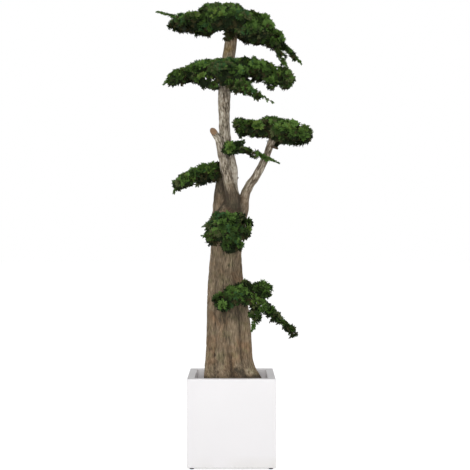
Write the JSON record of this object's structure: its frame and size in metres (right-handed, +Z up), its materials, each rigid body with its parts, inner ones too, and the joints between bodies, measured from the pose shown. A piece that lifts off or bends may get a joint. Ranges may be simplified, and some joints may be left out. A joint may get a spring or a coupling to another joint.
{
  "type": "preserved juniper tree in a planter",
  "caption": "Tall preserved juniper with a fluted bare trunk, tiered pads of foliage and a square white planter.",
  "frame": {"origin": "on the floor under the middle of the pot, which is also the middle of the whole plant's footprint", "axes": "+Z is up along the trunk, +X is to the right as the picture shows the tree, and the picture's side faces -Y"},
  "size_m": [0.8832, 0.623, 2.4671],
  "materials": {
    "pot_white": "satin white",
    "foot_rubber": "matte dark",
    "mulch": "loose dark bark chips",
    "bark": "rough fluted bark",
    "pale_bark": "weathered pale bark",
    "juniper_green": "matte dark green"
  },
  "bodies": {
    "root": {"pot": "pot_white", "pot_foot_front_left": "foot_rubber", "pot_foot_front_right": "foot_rubber", "pot_foot_back_left": "foot_rubber", "pot_foot_back_right": "foot_rubber", "potting_fill": "mulch", "trunk": "bark", "left_limb": "pale_bark", "twisted_limb": "pale_bark", "right_bough": "pale_bark", "crown_left": "juniper_green", "crown_right": "juniper_green", "crown_front": "juniper_green", "crown_back": "juniper_green", "tier_left": "juniper_green", "tier_right": "juniper_green", "tier_front": "juniper_green", "tier_back": "juniper_green", "right_pad": "juniper_green", "side_sprig": "juniper_green", "left_pad": "juniper_green", "trunk_collar": "juniper_green", "low_spray": "juniper_green"}
  },
  "joints": []
}
